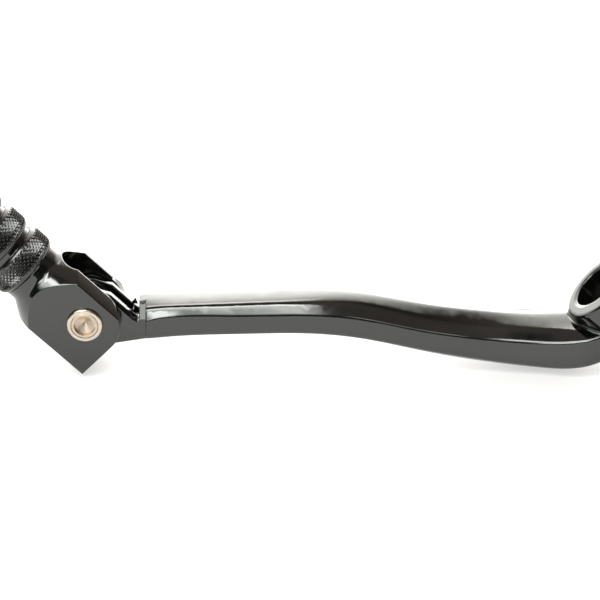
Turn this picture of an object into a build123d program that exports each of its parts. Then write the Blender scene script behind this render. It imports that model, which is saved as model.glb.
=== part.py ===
"""Folding-tip gear shift lever for an off-road motorcycle.

The lever lies as it would on a bench: +Z up, the arm running along X, the fold pin along Y.
The origin is the middle of the splined bore that clamps on the gearbox shift shaft.
The bore, the boss and the toe peg are all parallel and lean 45 degrees up and to the left.
"""
from build123d import *
from math import acos, atan2, degrees, hypot, sqrt
import os

os.makedirs("parts", exist_ok=True)

# ---------------------------------------------------------------- driving dimensions (mm)
lean = sqrt(0.5)                      # X and Z share of every 45 degree direction

# boss and spline bore
boss_radius = 8.8                     # round the bore
boss_near_radius = 9.2                # thicker side wall toward the rider
boss_near_centre = (1.3, 0.6)
boss_length = 14.0
boss_blend = 0.6                      # concave corner where the arm runs into the boss
spline_teeth = 36
spline_tip_radius = 6.1               # crest of the female teeth, clamps the shaft
spline_root_radius = 6.55
spline_gap = 0.45                     # width of a tooth gap at the crest circle
bore_lead_in = 0.15
rim_round = 0.8                       # rounded outer edge at both ends of the boss
slit_width = 2.0
lug_reach = 15.6                      # from the bore axis to the end of the pinch lug
lug_half_width = 8.6
lug_length = 11.0
pinch_axis = 10.6                     # from the bore axis to the pinch bolt axis
pinch_clear_radius = 3.2
bolt_radius = 3.0
spot_face_radius = 6.6
spot_face_y = 8.0                     # seat of the bolt washer, on the near lug
bolt_washer = 1.2
bolt_washer_radius = 5.6
bolt_across_flats = 10.0
bolt_head = 4.0
bolt_length = 19.0

# arm, one row per station: x, half width, lower crest, flat bottom, flat top,
# shoulder half width, shoulder height, upper crest
arm_stations = [
    (-106.4, 6.5, -6.8, -5.6, -2.1, 4.3, 1.1, 1.4),
    (-103.2, 6.5, -6.6, -5.4, -0.75, 4.6, 1.65, 1.95),
    (-98.0, 6.5, -6.2, -4.9, 0.0, 4.75, 2.05, 2.25),
    (-84.0, 6.5, -5.7, -4.4, 0.1, 4.4, 2.45, 2.65),
    (-70.0, 6.5, -5.6, -4.2, 0.3, 4.0, 2.8, 3.05),
    (-58.0, 6.5, -7.1, -5.2, -0.6, 3.1, 2.3, 2.7),
    (-44.0, 6.6, -10.5, -8.0, -3.5, 3.0, -0.75, 0.15),
    (-30.0, 6.9, -13.1, -10.4, -5.4, 3.05, -2.7, -1.7),
    (-18.0, 8.0, -14.3, -11.6, -5.8, 4.3, -3.3, -2.5),
    (-11.0, 9.0, -14.0, -11.6, -5.2, 4.9, -3.1, -2.3),
    (-6.0, 9.4, -12.5, -10.5, -4.0, 5.2, -2.8, -2.2),
    (-2.5, 8.2, -11.0, -9.4, -3.0, 3.8, -2.3, -2.0),
]
shoulder_bow = 0.035                  # outward bow of the sloping shoulder, share of its length
arm_crease = 0.7                      # softened corner between flat side and crowned top
arm_lower_crease = 1.1

# fold pivot
pivot_x = -118.0
pivot_z = -1.2
pin_radius = 3.0
pin_running_gap = 0.04
tongue_half = 3.95
tongue_radius = 6.5
tongue_top = 7.3                      # sloping top of the tongue, from the pivot axis
tongue_land = ((5.5, 4.85), (2.6, 5.97))  # flat land between the slope and the round end
tongue_bevel = 0.7                    # on the outer edges of the tongue's top
tongue_valley = 2.5                   # concave corner at the foot of the slope
stop_peak = [(8.9, 0.2), (10.6, 2.3), (11.3, 0.2)]  # small ridge left on each rail
tongue_stop = 6.6                     # stop pad under the tongue, from the pivot axis
stop_pad = 4.6                        # length of that pad
tongue_shelf = -0.8                   # floor of the step in front of the arm, from the pivot
body_end = 13.2                       # arm body starts here, to the right of the pivot
crest_end = 11.6
shoulder_bevel = [(3.9, -2.2), (1.6, 0.9), (1.6, 6.0), (9.0, 6.0), (9.0, -2.2)]
groove_half = 1.75                    # spring groove in the tongue
groove_floor = -1.75                  # end of the sloping groove floor, from the pivot
spring_pocket = 5.45
bush_outer = 3.75
washer_outer = 6.0
washer_gap = 0.03

# toe clevis and grip
ear_half = 8.0
slot_half = 4.5
slot_floor = 6.65
slot_depth = 8.5                      # straight part of the slot, pivot to start of the round end
axis_offset = -1.9                    # grip axis below the pivot axis
clevis_back = 8.0                     # pivot to the square inner end of the clevis
turned_radius = 11.6
flare_start = 7.1
flare_end = 12.7
flare_radius = 7.85
ear_round = 7.3                       # upper corner of the ears, above the pivot
flank_low = 7.6                       # lower flank, at the flats
flank_low_crest = 8.9
flank_near = 7.9                      # upper flank, at the near flat
flank_far = 8.6
flank_crest = 9.9
edge_break = 0.25                     # rounding of the milled flats' outlines
neck_radius = 7.1
grip_start = 16.0
ring_count = 4
ring_radius = 7.5
ring_width = 5.9
ring_pitch = 7.1
ring_groove_radius = 6.5
ring_chamfer = 0.8

# stainless fold pin and its two collars
collar_radius = 3.9
collar_proud = 0.75
collar_seam = 0.05
drill_radius = 2.4
drill_depth = 1.5
drill_point = 1.0

# spring
wire_radius = 0.45
coil_radius = 4.6
coil_reach = 1.0                      # half the width of the coil, centre of wire
toe_leg_length = 15.0
arm_leg_tip = (8.8, -1.5)             # end of the arm leg, from the pivot

# ---------------------------------------------------------------- working planes
boss_plane = Plane(origin=(0, 0, 0), x_dir=(0, -1, 0), z_dir=(-lean, 0, lean))
pivot_side = Plane(origin=(pivot_x, 0, pivot_z), x_dir=(1, 0, 0), z_dir=(0, -1, 0))
fold_plane = Plane(origin=(pivot_x, 0, pivot_z), x_dir=(-lean, 0, lean), z_dir=(0, 1, 0))
grip_centre = fold_plane.from_local_coords(Vector(0, axis_offset, 0))
grip_side = Plane(origin=grip_centre, x_dir=(-lean, 0, lean), z_dir=(0, 1, 0))
grip_section = Plane(origin=grip_centre, x_dir=(0, -1, 0), z_dir=(-lean, 0, lean))
floor_centre = fold_plane.from_local_coords(Vector(0, -slot_floor, 0))
slot_plane = Plane(origin=floor_centre, x_dir=(-lean, 0, lean), z_dir=(lean, 0, lean))
pinch_point = boss_plane.from_local_coords(Vector(0, pinch_axis, 0))

# centre line of the spring wire: a coil round the pin, and two legs that leave it as tangents
leg_distance = hypot(*arm_leg_tip)
arm_leg_length = sqrt(leg_distance ** 2 - coil_radius ** 2)
leg_angle = degrees(atan2(arm_leg_tip[1], arm_leg_tip[0]) - acos(coil_radius / leg_distance))
coil_turns = (leg_angle + 135 + 720) / 360
coil_start = Vector(pivot_x, -coil_reach, pivot_z)
coil_plane = Plane(origin=coil_start, x_dir=(-lean, 0, -lean), z_dir=(0, 1, 0))
helix = Helix(2 * coil_reach / coil_turns, 2 * coil_reach, coil_radius, lefthand=True)
coil = coil_plane.location * helix
toe_leg_axis = -(coil % 0)
arm_leg_axis = coil % 1


def pin_frame(y):
    """Location on the fold axis, its own z along +Y."""
    return Location((pivot_x, y, pivot_z), (-90, 0, 0))


def pinch_frame(y):
    """Location on the pinch bolt axis, its own z along +Y."""
    return Location((pinch_point.X, y, pinch_point.Z), (-90, 0, 0))


# ---------------------------------------------------------------- arm with boss and tongue
with BuildPart() as shift_arm:
    for x, half, low_crest, low, high, ridge, ridge_z, high_crest in arm_stations:
        slope = Vector(ridge - half, ridge_z - high)
        bow = Vector(slope.Y, -slope.X) * shoulder_bow
        crown = [
            Vector(half, high),
            Vector(half, high) + slope * 0.45 + bow,
            Vector(half, high) + slope * 0.9 + bow * 0.6,
            Vector(ridge * 0.88, ridge_z + 0.12 * (high_crest - ridge_z)),
            Vector(0, high_crest),
        ]
        crown += [Vector(-point.X, point.Y) for point in reversed(crown[:-1])]
        with BuildSketch(Plane(origin=(x, 0, 0), x_dir=(0, 1, 0), z_dir=(1, 0, 0))):
            with BuildLine():
                Line((half, low), (half, high))
                Spline(crown)
                Line((-half, high), (-half, low))
                ThreePointArc((-half, low), (0, low_crest), (half, low))
            make_face()
    loft()
    creases = shift_arm.edges().filter_by(lambda edge: edge.bounding_box().size.X > 60)
    fillet(creases.sort_by(Axis.Z)[:2], arm_lower_crease)
    creases = shift_arm.edges().filter_by(lambda edge: edge.bounding_box().size.X > 60)
    fillet(creases.sort_by(Axis.Z)[-2:], arm_crease)
    # the clevis ears swing past both sides of the tongue
    for side in (-1, 1):
        with Locations((pivot_x + body_end - 10, side * (tongue_half + 10), 0)):
            Box(20, 20, 40, mode=Mode.SUBTRACT)
        # bevel between the rail and the crown of the arm, in front of the clearance
        with BuildSketch(Plane(origin=(pivot_x + body_end, 0, 0), x_dir=(0, side, 0), z_dir=(-1, 0, 0))):
            with BuildLine():
                Polyline([(y, -side * z) for y, z in shoulder_bevel], close=True)
            make_face()
        extrude(amount=3, mode=Mode.SUBTRACT)
    # boss, blended into the arm, and the lug that the pinch bolt closes
    with BuildSketch(boss_plane):
        Circle(boss_radius)
        with Locations(boss_near_centre):
            Circle(boss_near_radius)
        make_hull()
    extrude(amount=boss_length / 2, both=True)
    joins = shift_arm.edges(Select.LAST).filter_by(GeomType.BSPLINE)
    joins = joins.filter_by(lambda edge: (edge @ 0.5).Z > -5.5 and (edge @ 0.5).X < -5)
    fillet(joins, boss_blend)
    with BuildSketch(boss_plane):
        with Locations((0, lug_reach / 2)):
            RectangleRounded(2 * lug_half_width, lug_reach, 3.0)
    extrude(amount=lug_length / 2, both=True)
    for end in (-1, 1):
        end_plane = boss_plane.offset(end * boss_length / 2)
        rims = shift_arm.edges().filter_by(
            lambda edge: all(abs(end_plane.to_local_coords(edge @ t).Z) < 0.01 for t in (0, 0.5, 1))
        )
        fillet(rims, rim_round)
    # tongue between the ears, with a flat pad that rests on the slot floor
    with BuildPart(mode=Mode.PRIVATE) as tongue:
        with BuildSketch(pivot_side):
            with BuildLine():
                top_edge = Polyline(
                    (body_end + 3, tongue_shelf),
                    (tongue_top / lean - tongue_shelf, tongue_shelf),
                    *tongue_land,
                )
                Polyline(
                    tongue_land[-1],
                    (0, 0),
                    (-lean * tongue_stop, -lean * tongue_stop),
                    (lean * (stop_pad - tongue_stop), -lean * (stop_pad + tongue_stop)),
                    (6.6, -6.5),
                    (body_end, -5.4),
                    (body_end + 3, -5.0),
                    (body_end + 3, tongue_shelf),
                )
            make_face()
            Circle(tongue_radius)
        extrude(amount=tongue_half, both=True)
        foot = Vector(pivot_x + tongue_top / lean - tongue_shelf, 0, pivot_z + tongue_shelf)
        valley = tongue.edges().filter_by(Axis.Y).sort_by_distance(foot)[0]
        fillet(valley, tongue_valley)
        outline = tongue.edges().filter_by(
            lambda edge: abs(abs(edge.center().Y) - tongue_half) < 0.01
            and edge.center().X > pivot_x + 3
            and edge.center().Z > pivot_z + tongue_shelf - 0.01
        )
        chamfer(outline, tongue_bevel)
        for side in (-1, 1):
            rail = Plane(
                origin=(pivot_x, side * groove_half * 0.8, pivot_z),
                x_dir=(1, 0, 0),
                z_dir=(0, side, 0),
            )
            with BuildSketch(rail):
                with BuildLine():
                    Polyline([(x, -side * z) for x, z in stop_peak], close=True)
                make_face()
            extrude(amount=1.2, taper=28)
    add(tongue.part)
    # groove for the spring, open upwards and toward the grip
    with BuildSketch(pivot_side):
        Circle(spring_pocket)
        with BuildLine():
            Polyline(
                (0, -spring_pocket + 0.2),
                (-8, -spring_pocket + 0.2),
                (-8, 9),
                (crest_end, 9),
                (crest_end, groove_floor),
                (1.5, -5.15),
                close=True,
            )
        make_face()
    extrude(amount=groove_half, both=True, mode=Mode.SUBTRACT)
    with BuildSketch(pivot_side):
        Circle(bush_outer)
    extrude(amount=ear_half, both=True, mode=Mode.SUBTRACT)
    # splined bore and clamping slit
    with BuildSketch(boss_plane):
        Circle(spline_tip_radius)
        with PolarLocations(0, spline_teeth):
            with BuildLine():
                Polyline(
                    (spline_tip_radius - 0.4, -spline_gap / 2),
                    (spline_root_radius, -spline_gap / 3),
                    (spline_root_radius, spline_gap / 3),
                    (spline_tip_radius - 0.4, spline_gap / 2),
                    close=True,
                )
            make_face()
        with Locations((0, lug_reach / 2 + 1)):
            Rectangle(slit_width, lug_reach + 2)
    extrude(amount=boss_length, both=True, mode=Mode.SUBTRACT)
    for end in (-1, 1):
        with Locations(boss_plane.location * Location((0, 0, end * (boss_length - bore_lead_in) / 2))):
            Cone(
                spline_root_radius + bore_lead_in * (1 - end) / 2,
                spline_root_radius + bore_lead_in * (1 + end) / 2,
                bore_lead_in,
                mode=Mode.SUBTRACT,
            )
    # pinch bolt hole, wider on the head side, and its spot face
    with Locations(pinch_frame(-lug_half_width)):
        Cylinder(pinch_clear_radius, lug_half_width, mode=Mode.SUBTRACT,
                 align=(Align.CENTER, Align.CENTER, Align.MIN))
    with Locations(pinch_frame(0)):
        Cylinder(bolt_radius + 0.01, lug_half_width + 1, mode=Mode.SUBTRACT,
                 align=(Align.CENTER, Align.CENTER, Align.MIN))
    with Locations(pinch_frame(-spot_face_y)):
        Cylinder(spot_face_radius, 10, mode=Mode.SUBTRACT,
                 align=(Align.CENTER, Align.CENTER, Align.MAX))
shift_arm.part.label = "shift_arm"

# ---------------------------------------------------------------- folding toe piece
grip_end = grip_start + (ring_count - 1) * ring_pitch + ring_width
with BuildPart() as toe_peg:
    # turned blank: clevis block, flared neck, ringed grip
    with BuildSketch(grip_side):
        with BuildLine():
            Polyline(
                (grip_end, 0),
                (-clevis_back, 0),
                (-clevis_back, turned_radius),
                (flare_start, turned_radius),
                (flare_end, flare_radius),
            )
            cove = Spline(
                (flare_end, flare_radius),
                (flare_end + 1.6, neck_radius),
                tangents=((1.0, -0.68), (1.0, 0.0)),
            )
            Line(cove @ 1, (grip_start, neck_radius))
            for ring in range(ring_count):
                start = grip_start + ring * ring_pitch
                stop = start + ring_width
                foot = neck_radius if ring == 0 else ring_groove_radius
                Polyline(
                    (start, foot),
                    (start, ring_radius - ring_chamfer),
                    (start + ring_chamfer, ring_radius),
                    (stop - ring_chamfer, ring_radius),
                    (stop, ring_radius - ring_chamfer),
                    (stop, ring_groove_radius),
                )
                if ring < ring_count - 1:
                    Line((stop, ring_groove_radius), (start + ring_pitch, ring_groove_radius))
            Line((grip_end, ring_groove_radius), (grip_end, 0))
        make_face()
    revolve(axis=Axis(grip_centre, (-lean, 0, lean)))
    # flats and crowned flanks of the clevis
    with BuildSketch(grip_section):
        with BuildLine():
            Line((-ear_half, -flank_low), (-ear_half, flank_far))
            ThreePointArc((-ear_half, flank_far), (0, flank_crest), (ear_half, flank_near))
            Line((ear_half, flank_near), (ear_half, -flank_low))
            ThreePointArc((ear_half, -flank_low), (0, -flank_low_crest), (-ear_half, -flank_low))
        make_face()
    extrude(amount=60, both=True, mode=Mode.INTERSECT)
    # ears rounded about the pin so that they swing past the arm
    with BuildSketch(fold_plane):
        with Locations((-clevis_back, clevis_back)):
            Rectangle(2 * clevis_back, 2 * clevis_back)
        Ellipse(clevis_back, ear_round, mode=Mode.SUBTRACT)
    extrude(amount=2 * ear_half, both=True, mode=Mode.SUBTRACT)
    flat_edges = toe_peg.edges().filter_by(
        lambda edge: all(abs(abs((edge @ t).Y) - ear_half) < 0.01 for t in (0.1, 0.5, 0.9))
    )
    fillet(flat_edges, edge_break)
    # slot for the tongue, open at the top and at the back
    with BuildSketch(slot_plane):
        with Locations((slot_depth - 20, 0)):
            Rectangle(40, 2 * slot_half)
        with Locations((slot_depth, 0)):
            Circle(slot_half)
    extrude(amount=30, mode=Mode.SUBTRACT)
    # collar bores and the hole that holds the spring leg
    with Locations(pin_frame(0)):
        Cylinder(collar_radius, 4 * ear_half, mode=Mode.SUBTRACT)
    leg_root = coil @ 0 + toe_leg_axis * slot_depth
    with Locations(Location(Plane(origin=leg_root, z_dir=toe_leg_axis))):
        Cylinder(wire_radius + 0.1, 7.5, mode=Mode.SUBTRACT,
                 align=(Align.CENTER, Align.CENTER, Align.MIN))
toe_peg.part.label = "toe_peg"

# ---------------------------------------------------------------- fold pin, collars, bush
with BuildPart() as pivot_pin:
    pin_half = ear_half + collar_proud
    with Locations(pin_frame(0)):
        Cylinder(pin_radius, 2 * pin_half)
    chamfer(pivot_pin.edges(), 0.15)
    for side in (-1, 1):
        with Locations(pin_frame(side * (pin_half - drill_depth / 2))):
            Cylinder(drill_radius, drill_depth, mode=Mode.SUBTRACT)
        with Locations(pin_frame(side * (pin_half - drill_depth - drill_point / 2))):
            Cone(
                drill_radius if side < 0 else 0.05,
                0.05 if side < 0 else drill_radius,
                drill_point,
                mode=Mode.SUBTRACT,
            )
pivot_pin.part.label = "pivot_pin"

with BuildPart() as pivot_collars:
    for side in (-1, 1):
        with Locations(pin_frame(side * (ear_half + collar_proud + slot_half) / 2)):
            Cylinder(collar_radius, ear_half + collar_proud - slot_half)
    outer = pivot_collars.edges().filter_by(lambda edge: abs(edge.center().Y) > ear_half)
    fillet(outer, 0.4)
    with Locations(pin_frame(0)):
        Cylinder(pin_radius + collar_seam, 4 * ear_half, mode=Mode.SUBTRACT)
pivot_collars.part.label = "pivot_collars"

with BuildPart() as pivot_bush:
    with Locations(pin_frame(0)):
        Cylinder(bush_outer, 2 * tongue_half)
        Cylinder(pin_radius + pin_running_gap, 2 * tongue_half, mode=Mode.SUBTRACT)
pivot_bush.part.label = "pivot_bush"

with BuildPart() as thrust_washers:
    washer = slot_half - tongue_half - 2 * washer_gap
    for side in (-1, 1):
        with Locations(pin_frame(side * (slot_half + tongue_half) / 2)):
            Cylinder(washer_outer, washer)
            Cylinder(pin_radius + 0.06, washer, mode=Mode.SUBTRACT)
thrust_washers.part.label = "thrust_washers"

# ---------------------------------------------------------------- return spring
with BuildPart() as tip_spring:
    with BuildLine():
        toe_leg = Line(coil @ 0 + toe_leg_axis * toe_leg_length, coil @ 0)
        add(coil)
        Line(coil @ 1, coil @ 1 + arm_leg_axis * arm_leg_length)
    with BuildSketch(Plane(origin=toe_leg @ 0, z_dir=toe_leg % 0)):
        Circle(wire_radius)
    sweep()
tip_spring.part.label = "tip_spring"

# ---------------------------------------------------------------- pinch bolt and washer
head_seat = -spot_face_y - bolt_washer
with BuildPart() as pinch_washer:
    with Locations(pinch_frame(head_seat)):
        Cylinder(bolt_washer_radius, bolt_washer, align=(Align.CENTER, Align.CENTER, Align.MIN))
    chamfer(pinch_washer.edges(), 0.15)
    with Locations(pinch_frame(head_seat)):
        Cylinder(bolt_radius + 0.2, bolt_washer, mode=Mode.SUBTRACT,
                 align=(Align.CENTER, Align.CENTER, Align.MIN))
pinch_washer.part.label = "pinch_washer"

with BuildPart() as pinch_bolt:
    with BuildSketch(Plane(pinch_frame(head_seat))):
        RegularPolygon(bolt_across_flats / 2, 6, major_radius=False)
    extrude(amount=-bolt_head)
    with Locations(pinch_frame(head_seat)):
        Cylinder(bolt_radius, bolt_length, align=(Align.CENTER, Align.CENTER, Align.MIN))
    tip = pinch_bolt.edges().sort_by(Axis.Y)[-1]
    chamfer(tip, 0.6)
pinch_bolt.part.label = "pinch_bolt"

# ---------------------------------------------------------------- files
for piece in (
    shift_arm,
    toe_peg,
    pivot_pin,
    pivot_collars,
    pivot_bush,
    thrust_washers,
    tip_spring,
    pinch_bolt,
    pinch_washer,
):
    export_step(piece.part, f"parts/{piece.part.label}.step")
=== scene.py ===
import math

import bmesh
import bpy
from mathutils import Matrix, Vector


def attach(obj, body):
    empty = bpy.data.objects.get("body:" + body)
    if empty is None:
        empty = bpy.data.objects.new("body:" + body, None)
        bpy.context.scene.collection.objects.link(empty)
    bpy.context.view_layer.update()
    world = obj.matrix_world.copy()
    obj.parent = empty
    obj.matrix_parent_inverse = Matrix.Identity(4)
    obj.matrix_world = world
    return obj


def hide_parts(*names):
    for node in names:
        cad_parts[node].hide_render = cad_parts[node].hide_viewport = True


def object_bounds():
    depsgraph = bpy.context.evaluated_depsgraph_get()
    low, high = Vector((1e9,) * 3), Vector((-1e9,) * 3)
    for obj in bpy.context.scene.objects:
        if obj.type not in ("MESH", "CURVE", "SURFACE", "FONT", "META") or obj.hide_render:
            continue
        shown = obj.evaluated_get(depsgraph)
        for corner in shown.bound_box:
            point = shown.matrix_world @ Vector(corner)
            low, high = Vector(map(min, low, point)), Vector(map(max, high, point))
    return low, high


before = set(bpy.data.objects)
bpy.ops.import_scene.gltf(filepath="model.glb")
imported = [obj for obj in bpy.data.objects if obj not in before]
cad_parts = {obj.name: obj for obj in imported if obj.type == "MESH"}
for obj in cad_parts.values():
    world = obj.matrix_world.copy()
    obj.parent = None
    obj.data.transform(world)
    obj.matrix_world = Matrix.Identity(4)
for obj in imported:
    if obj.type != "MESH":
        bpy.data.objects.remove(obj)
cad_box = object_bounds()

MM = 0.001
LEAN = math.sqrt(0.5)                    # X and Z share of the 45 degree grip and boss axis

# grip, in mm, as the CAD has it
PIVOT = Vector((-118.0, 0.0, -1.2))
GRIP_AXIS = Vector((-LEAN, 0.0, LEAN))
GRIP_UP = Vector((LEAN, 0.0, LEAN))
GRIP_OFFSET = -1.9
GRIP_START = 16.0
RING_COUNT = 4
RING_PITCH = 7.1
RING_WIDTH = 5.9
GROOVE_RADIUS = 6.5
KNURL_ROOT = 7.53                        # radius between the diamonds
KNURL_PEAK = 7.93                        # radius at their points
KNURL_AROUND = 46                        # diamonds round one ring
KNURL_STEPS = 4                          # mesh steps across one diamond
KNURL_EASE = 3                           # rows over which the knurling fades at a ring's ends
RING_SHOULDER = 0.85                     # rounding of a ring's ends
SHOULDER_TURNS = (0, 25, 50, 72)         # where that rounding has its rows, in degrees
SHELL_GAP = 0.03                         # by which a knurled shell stands off its ring

# return spring, in mm, as the CAD has it
COIL_RADIUS = 4.6
COIL_REACH = 1.0                         # half the width of the coil, centre of wire
COIL_PITCH = 0.92
WIRE_REACH = 0.5                         # wire radius with a little over
LEG_SLACK = 0.05                         # by which a leg's first faces may lie behind its root
TOE_LEG_ROOT = PIVOT - GRIP_UP * COIL_RADIUS - Vector((0.0, COIL_REACH, 0.0))
TOE_LEG_SLOPE = COIL_PITCH / (2 * math.pi * COIL_RADIUS)
TOE_LEG_AXIS = (GRIP_AXIS - Vector((0.0, TOE_LEG_SLOPE, 0.0))).normalized()

# camera, in metres and millimetres of lens
CAMERA_TARGET = Vector((-0.0708, 0.0, 0.0009))
CAMERA_DISTANCE = 0.4667
CAMERA_ELEVATION = math.radians(26.0)
CAMERA_LENS = 126.0
CAMERA_SENSOR = 36.0
CAMERA_NEAR = 0.01
CAMERA_FAR = 50.0

# floor
FLOOR_REACH = 6.0
FLOOR_COLOUR = (0.44, 0.445, 0.45, 1.0)
FLOOR_GLOW = (1.0, 0.99, 0.965, 1.0)
FLOOR_GLOW_STRENGTH = 0.56
FLOOR_ROUGHNESS = 0.55

# Lights of the studio surround. Each is a brightness by angle, from the back horizon at 0 over the
# zenith at 90 to the front horizon at 180, times a brightness by how far to the left (-1) or the
# right (1) the direction points.
STUDIO_STRENGTH = 12.2                   # radiance where both are 1
SCREEN = (
    [
        (0, (0.90, 0.89, 0.87)),
        (20, (0.60, 0.59, 0.565)),
        (30, (0.44, 0.43, 0.41)),
        (46, (0.31, 0.30, 0.285)),
        (60, (0.18, 0.175, 0.165)),
        (74, (0, 0, 0)),
    ],
    [
        (-1, 0.22),
        (-0.45, 0.30),
        (-0.25, 0.62),
        (-0.1, 1.0),
        (0.3, 0.95),
        (0.5, 0.5),
        (0.7, (0.13, 0.11, 0.10)),
        (1, (0.11, 0.09, 0.08)),
    ],
)
SCREEN_TOP = (
    [(48, (0, 0, 0)), (55, (0.50, 0.46, 0.44)), (68, (0.50, 0.46, 0.44)), (71, (0, 0, 0))],
    [(-0.6, 0.0), (-0.3, 1.0), (-0.02, 1.0), (0.06, 0.0)],
)
CEILING = (
    [
        (60, (0, 0, 0)),
        (70, (0.032, 0.027, 0.024)),
        (97, (0.028, 0.024, 0.021)),
        (107, (0.003, 0.004, 0.005)),
        (180, (0.003, 0.004, 0.004)),
    ],
    [(-1, 0.5), (-0.3, 1.0), (0.12, 1.0), (0.3, 0.4), (1, 0.3)],
)
RIGHT_WALL = (
    [
        (90, (0, 0, 0)),
        (107, (0.027, 0.023, 0.020)),
        (122, (0.020, 0.016, 0.013)),
        (130, (0.004, 0.004, 0.004)),
        (180, (0.003, 0.003, 0.003)),
    ],
    [(0.0, 0.0), (0.08, 1.0), (0.3, 1.0), (0.6, 0.5), (1, 0.4)],
)
FRONT_LAMP = (
    [
        (111, (0, 0, 0)),
        (113.5, (1, 0.98, 0.97)),
        (120, (1, 0.98, 0.97)),
        (124, (0.42, 0.43, 0.42)),
        (127, (0.58, 0.58, 0.56)),
        (130, (0.48, 0.49, 0.46)),
        (136, (0.22, 0.23, 0.21)),
        (142, (0.12, 0.125, 0.115)),
        (145, (0, 0, 0)),
    ],
    [(-0.75, 0.0), (-0.6, 1.0), (0.02, 1.0), (0.11, 0.0)],
)
RIGHT_STRIP = (
    [(129, (0, 0, 0)), (132, (0.40, 0.38, 0.36)), (138, (0.36, 0.34, 0.32)), (142, (0, 0, 0))],
    [(0.15, 0.0), (0.19, 1.0), (0.25, 1.0), (0.32, 0.2), (0.42, 0.0)],
)
LEFT_CORNER = (
    [(134, 0.0), (138, 0.8), (152, 0.7), (160, 0.0)],
    [(-0.42, 0.0), (-0.34, 1.0), (-0.15, 1.0), (-0.1, 0.0)],
)
STUDIO_LIGHTS = (SCREEN, SCREEN_TOP, CEILING, RIGHT_WALL, FRONT_LAMP, RIGHT_STRIP, LEFT_CORNER)

# finishes; noise scales are cells per metre, and heights and radii are metres
BLACK = (0.0018, 0.0019, 0.0018)
BLACK_IOR = 1.78
BLACK_TINT = (0.97, 1.0, 0.975, 1.0)
MOTTLE_SCALE = 90.0
HAZE_SCALE = 420.0
ORANGE_PEEL_SCALE = 160.0
ORANGE_PEEL_HEIGHT = 0.00004
PORE_SCALE = 3600.0
PORE_HEIGHT = 0.00002
FORGING_EDGE = 0.0006
BAR_EDGE = 0.0003
EDGE_SAMPLES = 8
TONE_SCALE = 600.0
TOOL_MARK_SCALE = 1500.0
TOOL_MARK_HEIGHT = 0.00001

# ------------------------------------------------------------------ materials


def new_material(name):
    """Material with an empty node tree, its Principled shader linked to the output."""
    material = bpy.data.materials.new(name)
    material.use_nodes = True
    tree = material.node_tree
    tree.nodes.clear()
    output = tree.nodes.new("ShaderNodeOutputMaterial")
    shader = tree.nodes.new("ShaderNodeBsdfPrincipled")
    tree.links.new(shader.outputs["BSDF"], output.inputs["Surface"])
    return material, tree, shader


def noise(tree, scale, detail=4.0, roughness=0.55, stretch=None):
    """Noise factor in object space, scale in cells per metre, optionally stretched by axis."""
    coords = tree.nodes.new("ShaderNodeTexCoord")
    mapping = tree.nodes.new("ShaderNodeMapping")
    mapping.inputs["Scale"].default_value = stretch or (1.0, 1.0, 1.0)
    texture = tree.nodes.new("ShaderNodeTexNoise")
    texture.inputs["Scale"].default_value = scale
    texture.inputs["Detail"].default_value = detail
    texture.inputs["Roughness"].default_value = roughness
    tree.links.new(coords.outputs["Object"], mapping.inputs["Vector"])
    tree.links.new(mapping.outputs["Vector"], texture.inputs["Vector"])
    return texture.outputs["Fac"]


def ramp(tree, factor, stops):
    """Colour ramp on a factor; stops are (position, grey or colour)."""
    node = tree.nodes.new("ShaderNodeValToRGB")
    elements = node.color_ramp.elements
    elements.remove(elements[1])
    for index, (position, value) in enumerate(stops):
        element = elements.new(position) if index else elements[0]
        element.position = position
        colour = value if isinstance(value, tuple) else (value, value, value)
        element.color = (*colour, 1.0)
    tree.links.new(factor, node.inputs["Fac"])
    return node.outputs["Color"]


def mix_colour(tree, factor, first, second, blend="MIX"):
    """Mix of two colours, each a socket or a value."""
    node = tree.nodes.new("ShaderNodeMix")
    node.data_type = "RGBA"
    node.blend_type = blend
    factor_input, first_input, second_input = (node.inputs[index] for index in (0, 6, 7))
    for socket, value in ((factor_input, factor), (first_input, first), (second_input, second)):
        if isinstance(value, bpy.types.NodeSocket):
            tree.links.new(value, socket)
        elif isinstance(value, tuple):
            socket.default_value = (*value, 1.0)
        else:
            socket.default_value = value
    return node.outputs[2]


def bump(tree, height, strength, distance, normal=None):
    """Bump from a height factor; distance in metres."""
    node = tree.nodes.new("ShaderNodeBump")
    node.inputs["Strength"].default_value = strength
    node.inputs["Distance"].default_value = distance
    tree.links.new(height, node.inputs["Height"])
    if normal is not None:
        tree.links.new(normal, node.inputs["Normal"])
    return node.outputs["Normal"]


def black_anodised(name, base, roughness, wave_depth, grain_depth, edge_radius=None):
    """Black anodised aluminium: deep gloss with a soft orange-peel, fine pores and slight mottling.

    With an edge radius, in metres, the edges look rounded by that much.
    """
    material, tree, shader = new_material(name)
    dark, light = (tuple(share * channel for channel in base) for share in (0.7, 1.4))
    shade = ramp(tree, noise(tree, MOTTLE_SCALE, 5.0), [(0.3, dark), (0.7, light)])
    tree.links.new(shade, shader.inputs["Base Color"])
    haze = noise(tree, HAZE_SCALE, 6.0)
    gloss = ramp(tree, haze, [(0.3, roughness * 0.8), (0.75, roughness * 1.35)])
    tree.links.new(gloss, shader.inputs["Roughness"])
    rounded = None
    if edge_radius is not None:
        bevel = tree.nodes.new("ShaderNodeBevel")
        bevel.samples = EDGE_SAMPLES
        bevel.inputs["Radius"].default_value = edge_radius
        rounded = bevel.outputs["Normal"]
    wave = bump(tree, noise(tree, ORANGE_PEEL_SCALE, 2.0), wave_depth, ORANGE_PEEL_HEIGHT, rounded)
    pores = bump(tree, noise(tree, PORE_SCALE, 3.0), grain_depth, PORE_HEIGHT, wave)
    tree.links.new(pores, shader.inputs["Normal"])
    shader.inputs["IOR"].default_value = BLACK_IOR
    shader.inputs["Specular Tint"].default_value = BLACK_TINT
    return material


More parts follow.
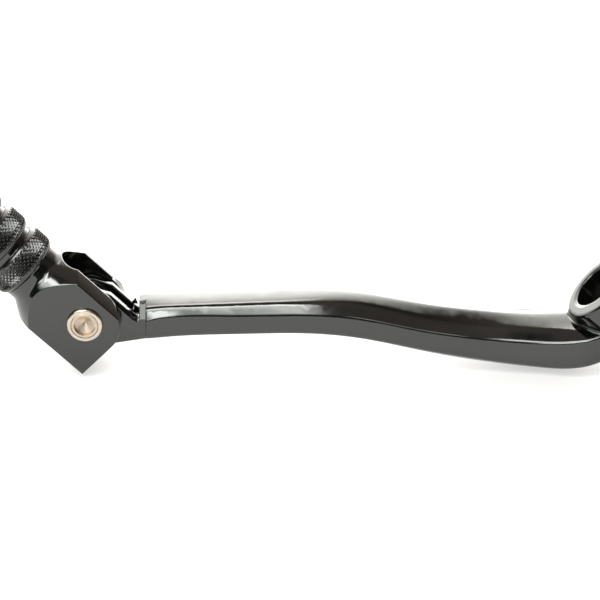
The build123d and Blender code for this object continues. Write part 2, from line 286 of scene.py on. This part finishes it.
def bright_metal(name, colour, roughness, brushing):
    """Turned or drawn bright metal: concentric tool marks seen as stretched fine noise."""
    material, tree, shader = new_material(name)
    shader.inputs["Metallic"].default_value = 1.0
    tone = noise(tree, TONE_SCALE, 5.0)
    shade = ramp(tree, tone, [(0.3, tuple(0.86 * c for c in colour)), (0.7, colour)])
    tree.links.new(shade, shader.inputs["Base Color"])
    marks = noise(tree, TOOL_MARK_SCALE, 4.0, 0.6, brushing)
    gloss = ramp(tree, marks, [(0.3, roughness * 0.75), (0.75, roughness * 1.4)])
    tree.links.new(gloss, shader.inputs["Roughness"])
    tree.links.new(bump(tree, marks, 0.3, TOOL_MARK_HEIGHT), shader.inputs["Normal"])
    return material


arm_black = black_anodised("black_forging", BLACK, 0.08, 0.04, 0.05, FORGING_EDGE)
bar_black = black_anodised("black_bar", BLACK, 0.10, 0.05, 0.06, BAR_EDGE)
knurl_black = black_anodised("black_knurl", BLACK, 0.20, 0.3, 0.9)
pin_steel = bright_metal("pin_steel", (0.66, 0.56, 0.45), 0.42, (1.0, 8.0, 1.0))
collar_steel = bright_metal("collar_steel", (0.66, 0.58, 0.48), 0.24, (1.0, 8.0, 1.0))
washer_steel = bright_metal("washer_steel", (0.55, 0.54, 0.52), 0.35, (1.0, 6.0, 1.0))
spring_steel = bright_metal("spring_steel", (0.42, 0.41, 0.40), 0.30, (1.0, 1.0, 4.0))
bolt_steel = bright_metal("bolt_steel", (0.62, 0.61, 0.58), 0.32, (1.0, 7.0, 1.0))
bush_bronze = bright_metal("bush_bronze", (0.62, 0.38, 0.18), 0.34, (1.0, 6.0, 1.0))

NODE_MATERIALS = {
    "shift_arm": arm_black,
    "toe_peg": bar_black,
    "pivot_pin": pin_steel,
    "pivot_collars": collar_steel,
    "pivot_bush": bush_bronze,
    "thrust_washers": washer_steel,
    "tip_spring": spring_steel,
    "pinch_bolt": bolt_steel,
    "pinch_washer": bolt_steel,
}
for node_name, material in NODE_MATERIALS.items():
    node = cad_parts[node_name]
    node.data.materials.clear()
    node.data.materials.append(material)

# ------------------------------------------------------------------ return spring


def spring_part(name, body, wanted):
    """Copy of the CAD spring that keeps the faces for which wanted(vertices) holds."""
    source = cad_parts["tip_spring"]
    mesh = source.data.copy()
    mesh.name = name
    work = bmesh.new()
    work.from_mesh(mesh)
    dropped = [face for face in work.faces if not wanted([vert.co / MM for vert in face.verts])]
    bmesh.ops.delete(work, geom=dropped, context="FACES")
    work.to_mesh(mesh)
    work.free()
    part = bpy.data.objects.new(name, mesh)
    bpy.context.collection.objects.link(part)
    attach(part, body)
    return part


def on_toe_leg(points):
    """Whether all points lie on the straight leg that pushes the toe piece back."""
    for point in points:
        along = (point - TOE_LEG_ROOT).dot(TOE_LEG_AXIS)
        across = (point - TOE_LEG_ROOT - along * TOE_LEG_AXIS).length
        if along < -LEG_SLACK or across > WIRE_REACH:
            return False
    return True


spring_coil = spring_part("spring_coil", "lever", lambda points: not on_toe_leg(points))
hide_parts("tip_spring")
spring_part("spring_toe_leg", "toe", on_toe_leg)

# ------------------------------------------------------------------ knurled rings

grip_centre = PIVOT + GRIP_UP * GRIP_OFFSET


def grip_point(along, radius, angle):
    """Point of the grip, in metres: along its axis, at a radius and an angle round it."""
    across = Vector((0.0, 1.0, 0.0)) * math.sin(angle) + GRIP_UP * math.cos(angle)
    return (grip_centre + GRIP_AXIS * along + across * radius) * MM


def knurled_ring(name, start):
    """Shell over one grip ring: rounded shoulders and raised diamond knurling between them."""
    mesh = bpy.data.meshes.new(name)
    work = bmesh.new()
    steps = KNURL_AROUND * KNURL_STEPS
    pitch = 2 * math.pi * KNURL_PEAK / KNURL_AROUND
    low, high = -SHELL_GAP, RING_WIDTH + SHELL_GAP
    rows = [(low, GROOVE_RADIUS, 0.0)]
    for degrees in SHOULDER_TURNS:
        swing = math.radians(degrees)
        rows.append((
            low + RING_SHOULDER * (1 - math.cos(swing)),
            KNURL_ROOT - RING_SHOULDER * (1 - math.sin(swing)),
            0.0,
        ))
    shoulder_rows = list(rows)
    flat = high - low - 2 * RING_SHOULDER
    count = round(flat / pitch * KNURL_STEPS)
    for index in range(count + 1):
        ease = min(1.0, (index + 1) / KNURL_EASE, (count - index + 1) / KNURL_EASE)
        rows.append((low + RING_SHOULDER + flat * index / count, KNURL_ROOT, ease))
    for along, radius, ease in reversed(shoulder_rows):
        rows.append((high + low - along, radius, ease))
    loops = []
    for along, radius, ease in rows:
        loop = []
        for step in range(steps):
            turn = 2 * math.pi * step / steps
            first = KNURL_AROUND * turn / (2 * math.pi) + along / pitch
            second = KNURL_AROUND * turn / (2 * math.pi) - along / pitch
            pyramid = min(abs(2 * (first % 1) - 1), abs(2 * (second % 1) - 1))
            height = ease * (KNURL_PEAK - KNURL_ROOT) * pyramid
            loop.append(work.verts.new(grip_point(start + along, radius + height, turn)))
        loops.append(loop)
    for lower, upper in zip(loops, loops[1:]):
        for step in range(steps):
            after = (step + 1) % steps
            work.faces.new((lower[step], lower[after], upper[after], upper[step]))
    bmesh.ops.recalc_face_normals(work, faces=work.faces)
    work.to_mesh(mesh)
    work.free()
    ring = bpy.data.objects.new(name, mesh)
    bpy.context.collection.objects.link(ring)
    mesh.materials.append(knurl_black)
    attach(ring, "toe")
    return ring


for number in range(RING_COUNT):
    knurled_ring(f"knurl_ring_{number + 1}", GRIP_START + number * RING_PITCH)

# ------------------------------------------------------------------ stage, light and camera

floor_z = cad_box[0].z
floor_mesh = bpy.data.meshes.new("floor")
corners = ((-1, -1), (1, -1), (1, 1), (-1, 1))
floor_mesh.from_pydata(
    [(FLOOR_REACH * across, FLOOR_REACH * along, floor_z) for across, along in corners],
    [],
    [(0, 1, 2, 3)],
)
floor = bpy.data.objects.new("floor", floor_mesh)
bpy.context.collection.objects.link(floor)
floor_material, floor_tree, floor_shader = new_material("floor_white")
floor_shader.inputs["Base Color"].default_value = FLOOR_COLOUR
floor_shader.inputs["Emission Color"].default_value = FLOOR_GLOW
floor_shader.inputs["Emission Strength"].default_value = FLOOR_GLOW_STRENGTH
floor_shader.inputs["Roughness"].default_value = FLOOR_ROUGHNESS
floor_mesh.materials.append(floor_material)


def direction_ramp(tree, value, low, high, stops):
    """Colour ramp over a value that runs from low to high; stops are (value, grey or colour)."""
    scaled = tree.nodes.new("ShaderNodeMapRange")
    scaled.inputs["From Min"].default_value = low
    scaled.inputs["From Max"].default_value = high
    tree.links.new(value, scaled.inputs["Value"])
    span = high - low
    return ramp(tree, scaled.outputs["Result"], [((at - low) / span, tone) for at, tone in stops])


def studio():
    """Soft studio surround that adds up the studio's lights by direction."""
    world = bpy.data.worlds.new("studio")
    bpy.context.scene.world = world
    world.use_nodes = True
    tree = world.node_tree
    tree.nodes.clear()
    output = tree.nodes.new("ShaderNodeOutputWorld")
    background = tree.nodes.new("ShaderNodeBackground")
    coords = tree.nodes.new("ShaderNodeTexCoord")
    split = tree.nodes.new("ShaderNodeSeparateXYZ")
    rise = tree.nodes.new("ShaderNodeMath")
    rise.operation = "ARCTAN2"
    degrees = tree.nodes.new("ShaderNodeMath")
    degrees.operation = "DEGREES"
    tree.links.new(coords.outputs["Generated"], split.inputs[0])
    tree.links.new(split.outputs["Z"], rise.inputs[0])
    tree.links.new(split.outputs["Y"], rise.inputs[1])
    tree.links.new(rise.outputs[0], degrees.inputs[0])
    height, side = degrees.outputs[0], split.outputs["X"]

    total = None
    for by_height, by_side in STUDIO_LIGHTS:
        lobe = mix_colour(
            tree,
            1.0,
            direction_ramp(tree, height, 0, 180, by_height),
            direction_ramp(tree, side, -1, 1, by_side),
            "MULTIPLY",
        )
        total = lobe if total is None else mix_colour(tree, 1.0, total, lobe, "ADD")
    tree.links.new(total, background.inputs["Color"])
    background.inputs["Strength"].default_value = STUDIO_STRENGTH
    tree.links.new(background.outputs[0], output.inputs["Surface"])


studio()

camera_data = bpy.data.cameras.new("camera")
camera = bpy.data.objects.new("camera", camera_data)
bpy.context.collection.objects.link(camera)
camera_data.lens = CAMERA_LENS
camera_data.sensor_width = CAMERA_SENSOR
camera_data.clip_start = CAMERA_NEAR
camera_data.clip_end = CAMERA_FAR
away = Vector((0.0, -math.cos(CAMERA_ELEVATION), math.sin(CAMERA_ELEVATION)))
camera.location = CAMERA_TARGET + away * CAMERA_DISTANCE
camera.rotation_mode = "QUATERNION"
camera.rotation_quaternion = (-away).to_track_quat("-Z", "Y")
bpy.context.scene.camera = camera
bpy.context.scene.view_settings.view_transform = "Standard"
